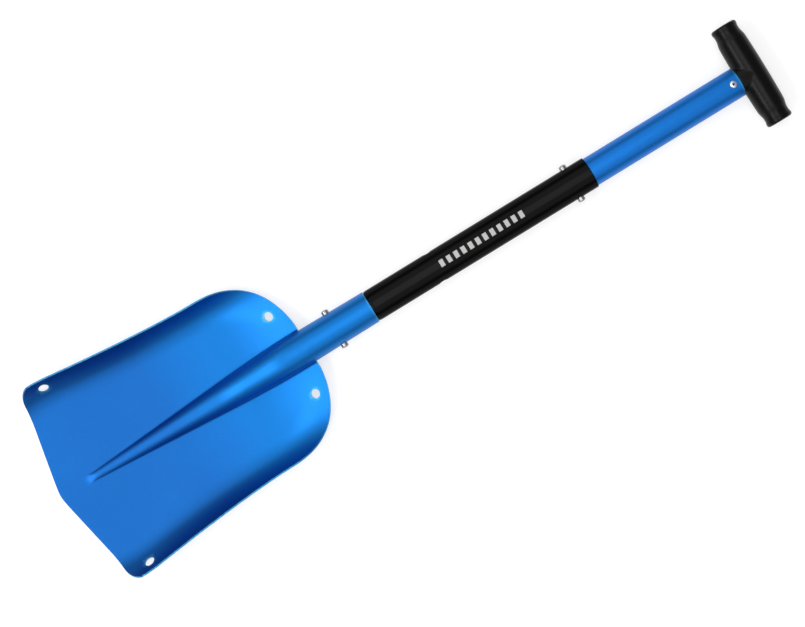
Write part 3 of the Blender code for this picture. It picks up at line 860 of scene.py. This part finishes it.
def make_tube(name, profile, wall, radius_at, snaps, material, body, slot, node):
    """A tube of the frame, punched on both sides at the stations in snaps."""
    bm = turned(profile, along_shaft(), TUBE_STEPS)
    for station in snaps:
        for side in (-1, 1):
            spot = (side * radius_at(station), at_station(station), SHAFT_Z)
            hole = SHORT_HOLE if station == SHORT_SNAP else BUTTON_HOLE
            punch(bm, spot, (side, 0, 0), hole, onto_tube(radius_at))
    bmesh.ops.recalc_face_normals(bm, faces=bm.faces)
    point_outwards(bm)
    mark_cut_edges(bm)
    tube = finish_piece(bm, name, material, body, slot, node)
    add_wall(tube, wall)
    round_edges(tube, TUBE_EDGE)
    return tube


def point_outwards(bm):
    """Turn an open tube's faces so that they point away from the shaft's centre line."""
    face = max(bm.faces, key=lambda f: f.calc_area())
    middle = face.calc_center_median()
    if face.normal.dot(Vector((middle.x, 0, middle.z - SHAFT_Z))) < 0:
        bmesh.ops.reverse_faces(bm, faces=bm.faces)


middle_tube = make_tube(
    "middle_shaft", middle_profile(), MIDDLE_WALL, middle_radius,
    (LOWER_SNAP, SHORT_SNAP, UPPER_SNAP), TUBE_BLACK, "middle_tube", "black_anodised", "middle_tube",
)
print("middle tube skin faces:", len(middle_tube.data.polygons))

# %% Upper tube
UPPER_RADIUS = (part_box("upper_tube")[1].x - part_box("upper_tube")[0].x) / 2
UPPER_WALL = 0.0012
upper_rows = evenly(UPPER_END + 0.0006, UPPER_TOP, ROW_STEP)
upper_profile = [(UPPER_RADIUS - 0.0003, UPPER_END)] + [(UPPER_RADIUS, s) for s in upper_rows]
upper_tube = make_tube(
    "upper_shaft", upper_profile, UPPER_WALL, lambda station: UPPER_RADIUS,
    (UPPER_SNAP,), TUBE_BLUE, "upper_tube", "blue_anodised_tube", "upper_tube",
)
print("upper tube skin faces:", len(upper_tube.data.polygons))

# %% [markdown]
# ## T-grip
# The grip is one moulding: a barrel-shaped bar with a small collar at each end, a round neck of the
# tube's own diameter, and a hollow plug that is riveted inside the tube. Where bar and neck cross, two
# round shapes of the same size meet in a crisp V. They are joined and then remeshed finely, which gives
# the meeting line the small radius that a mould has.

# %% T-grip
GRIP_LOW, GRIP_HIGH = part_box("t_grip")
BAR_RADIUS = 0.01508
GRIP_AT = station_of(GRIP_HIGH.y) - BAR_RADIUS
GRIP_HALF = GRIP_HIGH.x
PLUG_END = station_of(GRIP_LOW.y)
PLUG_RADIUS = 0.0134
PLUG_BORE = 0.0094
RIVET_AT = station_of((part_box("front_rivet")[0].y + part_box("front_rivet")[1].y) / 2)
RIVET_HOLE = 0.0023
HOLE_LENGTH = 0.06
VOXEL = 0.00055


def bar_profile():
    """Half outline of the bar, from its end to its middle, as (radius, distance from the middle)."""
    return [
        (0.0, GRIP_HALF - 0.0008),
        (0.0080, GRIP_HALF - 0.0008),
        (0.0100, GRIP_HALF),
        (0.0116, GRIP_HALF - 0.0001),
        (0.0130, GRIP_HALF - 0.0009),
        (0.0136, GRIP_HALF - 0.0024),
        (0.0134, GRIP_HALF - 0.0042),
        (0.0128, GRIP_HALF - 0.0062),
        (0.0128, 0.0450),
        (0.0131, 0.0425),
        (0.0138, 0.0400),
        (0.0144, 0.0372),
        (0.0147, 0.0320),
        (0.0149, 0.0220),
        (BAR_RADIUS, 0.0120),
    ]


def bake(piece):
    """Apply a piece's modifiers to its mesh."""
    graph = bpy.context.evaluated_depsgraph_get()
    graph.update()
    mesh = bpy.data.meshes.new_from_object(piece.evaluated_get(graph))
    piece.modifiers.clear()
    old, piece.data = piece.data, mesh
    bpy.data.meshes.remove(old)


def helper(bm, name):
    """A solid that is used up by a Boolean."""
    mesh = bpy.data.meshes.new(name)
    bm.to_mesh(mesh)
    bm.free()
    obj = bpy.data.objects.new(name, mesh)
    bpy.context.scene.collection.objects.link(obj)
    return obj


def combine(piece, other, operation):
    """Join a solid to a piece, or cut it from the piece."""
    boolean = piece.modifiers.new(other.name, "BOOLEAN")
    boolean.operation = operation
    boolean.object = other


def make_grip():
    """Bar and stem joined, bored for the rivets, and given one fine smooth skin."""
    half = bar_profile()
    profile = half + [(radius, -along) for radius, along in reversed(half)]
    place = Matrix.Translation((0, at_station(GRIP_AT), SHAFT_Z)) @ Matrix.Rotation(pi / 2, 4, "Y")
    bar = turned(profile, place, TUBE_STEPS)
    collar_from = UPPER_TOP + FIT_GAP
    stem = turned(
        [
            (0.0, GRIP_AT), (UPPER_RADIUS, GRIP_AT), (UPPER_RADIUS, collar_from),
            (PLUG_RADIUS, collar_from), (PLUG_RADIUS, PLUG_END + 0.001),
            (PLUG_RADIUS - 0.0006, PLUG_END), (PLUG_BORE, PLUG_END),
            (PLUG_BORE, collar_from), (0.0, collar_from),
        ],
        along_shaft(), TUBE_STEPS,
    )
    bore = bmesh.new()
    bmesh.ops.create_cone(
        bore, cap_ends=True, segments=32, radius1=RIVET_HOLE, radius2=RIVET_HOLE, depth=HOLE_LENGTH,
        matrix=Matrix.Translation((0, at_station(RIVET_AT), SHAFT_Z)),
    )
    stem, bore = helper(stem, "grip_stem"), helper(bore, "grip_rivet_bore")
    grip = finish_piece(bar, "moulded_grip", GRIP_BLACK, "upper_tube", "black_plastic", "t_grip")
    combine(grip, stem, "UNION")
    combine(grip, bore, "DIFFERENCE")
    remesh = grip.modifiers.new("fine_skin", "REMESH")
    remesh.mode = "VOXEL"
    remesh.voxel_size = VOXEL
    remesh.use_smooth_shade = True
    smooth = grip.modifiers.new("polish", "SMOOTH")
    smooth.factor = 0.5
    smooth.iterations = 6
    bake(grip)
    for used in (stem, bore):
        bpy.data.objects.remove(used)
    return grip


grip = make_grip()
print("grip faces:", len(grip.data.polygons))

# %% [markdown]
# ## Snap buttons and V springs
# A snap button is a little plated mushroom riveted to a leg of a V spring inside the tube. Pressing both
# buttons squeezes the V and frees the tubes. Each leg is its own piece, fixed where it is made and
# not carried by any body.

# %% Snap buttons
LEG_OUTSIDE = 0.0128
LEG_THICKNESS = 0.0008
TAIL_RADIUS = 0.0015
BUTTON_RADIUS = 0.0038


def button_profile(tip):
    """Outline from the middle of the dome to the peened tail, as (radius, distance from the shaft)."""
    dome = 0.0018
    seat = LEG_OUTSIDE + 0.0003
    inside = LEG_OUTSIDE - LEG_THICKNESS - 0.0003
    crown = [
        (BUTTON_RADIUS * sin(pi / 2 * step / 10) ** 0.75, tip - dome + dome * cos(pi / 2 * step / 10))
        for step in range(1, 11)
    ]
    tail = [
        (TAIL_RADIUS, seat), (TAIL_RADIUS, inside), (0.0021, inside), (0.0022, inside - 0.0003),
        (0.0018, inside - 0.0007), (0.0009, inside - 0.0009), (0.0, inside - 0.0009),
    ]
    return [(0.0, tip)] + crown + [(BUTTON_RADIUS, seat + 0.0003), (BUTTON_RADIUS - 0.0003, seat)] + tail


def make_button(level, side_name, side, station, tip):
    """One stud, whose dome points outwards on its side."""
    place = Matrix.Translation((0, at_station(station), SHAFT_Z)) @ Matrix.Rotation(side * pi / 2, 4, "Y")
    bm = turned(button_profile(tip), place, 48)
    name = f"{level}_button_{side_name}"
    button = finish_piece(
        bm, f"{name}_stud", BUTTON_STEEL, name, "bright_steel", f"{level}_snap_button_{side_name}"
    )
    round_edges(button, 0.00012)
    return button


for level, station, tip in (("lower", LOWER_SNAP, LOWER_TIP), ("upper", UPPER_SNAP, UPPER_TIP)):
    for side_name, side in (("left", -1), ("right", 1)):
        make_button(level, side_name, side, station, tip)
print("buttons made:", sum("stud" in piece.name for piece in PIECES))

# %% V springs
LEG_WIDTH = 0.008
LEG_PAST_BUTTON = 0.007
LEG_STRAIGHT = 0.006
BEND_RADIUS = 0.0026
SPRING_REACH = 0.044


def leg_path():
    """Half of the V, from the middle of its bend to the end of a leg, as (x, distance from button)."""
    middle = LEG_OUTSIDE - LEG_THICKNESS / 2
    reach = SPRING_REACH - BEND_RADIUS
    lean = atan2(middle - BEND_RADIUS, reach - LEG_STRAIGHT)
    bend = [
        (BEND_RADIUS * sin(angle), reach + BEND_RADIUS * cos(angle))
        for angle in ((pi / 2 - lean) * step / 10 for step in range(11))
    ]
    last_x, last_along = bend[-1]
    slope = [
        (last_x + (middle - last_x) * step / 14, last_along + (LEG_STRAIGHT - last_along) * step / 14)
        for step in range(1, 15)
    ]
    flat = [(middle, LEG_STRAIGHT - (LEG_STRAIGHT + LEG_PAST_BUTTON) * step / 6) for step in range(1, 7)]
    return bend + slope + flat


def make_leg(level, body, side_name, side, station, *nodes):
    """A strip extruded from the path across the tube, with its thickness centred on the path."""
    bm = bmesh.new()
    low = SHAFT_Z - LEG_WIDTH / 2
    line = [bm.verts.new((side * x, at_station(station + along), low)) for x, along in leg_path()]
    edges = [bm.edges.new(pair) for pair in zip(line, line[1:])]
    made = bmesh.ops.extrude_edge_only(bm, edges=edges)["geom"]
    top = [item for item in made if isinstance(item, bmesh.types.BMVert)]
    bmesh.ops.translate(bm, verts=top, vec=(0, 0, LEG_WIDTH))
    bmesh.ops.recalc_face_normals(bm, faces=bm.faces)
    name = f"{level}_spring_leg_{side_name}"
    leg = finish_piece(bm, name, SPRING_STEEL, None, "spring_steel", *nodes)
    strip = leg.modifiers.new("strip", "SOLIDIFY")
    strip.thickness = LEG_THICKNESS
    strip.offset = 0
    strip.use_even_offset = True
    round_edges(leg, 0.0002)
    bake(leg)
    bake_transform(leg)


for level, body, station in (("lower", "middle_tube", LOWER_SNAP), ("upper", "upper_tube", UPPER_SNAP)):
    for side_name, side in (("left", -1), ("right", 1)):
        make_leg(level, body, side_name, side, station, f"{level}_snap_spring")
print("spring legs made:", sum("spring_leg" in piece.name for piece in PIECES))

# %% [markdown]
# ## Blind rivets
# Two aluminium blind rivets hold the grip in the tube, one at the front and one at the back. The pin
# that set each rivet broke off inside it, and its end sits a little sunk in the domed head. Its steel is
# given a near-black colour, painted shade for the dark of the rivet's hollow bore.

# %% Rivets and their pins
RIVET_HEAD = 0.0036
RIVET_SHANK = 0.0020
RIVET_BULB = 0.0028
RIVET_BORE = 0.0013
BULB_END = 0.0063
HEAD_UNDER = UPPER_RADIUS + FIT_GAP
HEAD_HEIGHT = 0.0013
PIN_DEPTH = 0.0012


def rivet_profile():
    """Outline of the hollow rivet, with its head outside and its bulb inside the plug."""
    top = HEAD_UNDER + HEAD_HEIGHT
    bulb_from = PLUG_BORE - 0.0003
    dome = [
        (RIVET_BORE + (RIVET_HEAD - RIVET_BORE) * sin(pi / 2 * step / 8),
         HEAD_UNDER + 0.0003 + (HEAD_HEIGHT - 0.0003) * cos(pi / 2 * step / 8) ** 0.8)
        for step in range(9)
    ]
    shank = [
        (RIVET_HEAD - 0.0001, HEAD_UNDER), (RIVET_SHANK, HEAD_UNDER), (RIVET_SHANK, bulb_from),
        (RIVET_BULB, bulb_from - 0.0006), (RIVET_BULB, BULB_END + 0.0008),
        (RIVET_BULB - 0.0006, BULB_END), (RIVET_BORE, BULB_END),
    ]
    return dome + shank + [(RIVET_BORE, top)]


def pin_profile():
    """Outline of the broken pin, sunk a little in the head."""
    outer = HEAD_UNDER + HEAD_HEIGHT - PIN_DEPTH
    head = BULB_END - 0.0003
    return [
        (0.0, outer - 0.0001), (0.0005, outer), (0.0008, outer), (0.0010, outer - 0.0003),
        (0.0010, head), (0.0017, head), (0.0017, head - 0.0012), (0.0010, head - 0.0017),
        (0.0, head - 0.0017),
    ]


for label, turn in (("front", 0.0), ("rear", pi)):
    stand = Matrix.Translation((0, at_station(RIVET_AT), SHAFT_Z)) @ Matrix.Rotation(turn, 4, "X")
    body = finish_piece(
        turned(rivet_profile(), stand, 48), f"{label}_blind_rivet", RIVET_ALLOY,
        "upper_tube", "rivet_alloy", f"{label}_rivet",
    )
    round_edges(body, 0.00008)
    finish_piece(
        turned(pin_profile(), stand, 32), f"{label}_rivet_pin", PAINTED_SHADE_PIN_STEEL,
        "upper_tube", "mandrel_steel", f"{label}_rivet_mandrel",
    )
print("pieces so far:", len(PIECES))

# %% [markdown]
# ## Floor and light
# The floor is a plain pale sheet that glows, as a light table does, so the shovel throws only a
# faint shadow. Metal shows whatever stands round it, so the light is a small studio of soft panels: one
# overhead for the tubes and the floor of the blade, a bright one beyond the blade's point that its raised
# rear and the grip catch, and a dim one on each side for the flanks of the tubes. The room is dim.

# %% Floor
FLOOR_HALF = 12.0
FLOOR_GLOW = 0.62


def add_floor():
    """The sheet that the shovel lies on, a hair below it. It is staging, not part of the shovel."""
    bm = bmesh.new()
    bmesh.ops.create_grid(bm, x_segments=1, y_segments=1, size=FLOOR_HALF)
    bmesh.ops.translate(bm, verts=bm.verts, vec=(0, 0, cad_low.z - FIT_GAP))
    mesh = bpy.data.meshes.new("floor")
    bm.to_mesh(mesh)
    bm.free()
    floor = bpy.data.objects.new("floor", mesh)
    bpy.context.scene.collection.objects.link(floor)
    material, tree, shader, place = start_material("pale_floor")
    cloud = noise(tree, place, 3.0, 2.0)
    pale = blend_colours(tree, cloud, (0.44, 0.44, 0.44, 1), (0.46, 0.46, 0.46, 1))
    tree.links.new(pale, shader.inputs["Base Color"])
    shader.inputs["Roughness"].default_value = 0.9
    shader.inputs["Emission Color"].default_value = (1, 1, 1, 1)
    shader.inputs["Emission Strength"].default_value = FLOOR_GLOW
    mesh.materials.append(material)
    return floor


floor = add_floor()
print("floor at mm:", round(1000 * floor.data.vertices[0].co.z, 2))

# %% [markdown]
# A panel's brightness is what its reflection shows, whatever its size. So each one is given by its
# brightness, and its power follows from its area. Each row holds a name, the place, the point that the
# panel faces, its two sides and its brightness.

# %% Lights
PANELS = (
    ("overhead", (0.0, 0.03, 2.4), (0.0, 0.03, 0.0), (2.0, 1.2), 2.3),
    ("beyond_point", (0.0, -1.95, 2.4), (0.0, -1.95, 0.0), (3.0, 1.0), 5.7),
    ("left_side", (-1.53, -0.7, 1.75), (0.68, -0.7, 0.0), (3.8, 1.53), 1.0),
    ("right_side", (1.53, -0.7, 1.75), (-0.68, -0.7, 0.0), (3.8, 1.53), 0.85),
)
ROOM = 0.33


def add_panel(name, place, towards, size, brightness):
    """A soft panel that faces a point and is not itself seen."""
    data = bpy.data.lights.new(name, "AREA")
    data.shape = "RECTANGLE"
    data.size, data.size_y = size
    data.energy = pi * size[0] * size[1] * brightness
    panel = bpy.data.objects.new(name, data)
    panel.location = place
    panel.rotation_euler = (Vector(towards) - Vector(place)).to_track_quat("-Z", "Y").to_euler()
    panel.visible_camera = False
    bpy.context.scene.collection.objects.link(panel)


for panel in PANELS:
    add_panel(*panel)
room = bpy.data.worlds.new("room")
room.use_nodes = True
room.node_tree.nodes["Background"].inputs["Color"].default_value = (1, 1, 1, 1)
room.node_tree.nodes["Background"].inputs["Strength"].default_value = ROOM
bpy.context.scene.world = room
bpy.context.scene.view_settings.view_transform = "Standard"
print("panels:", len(PANELS))
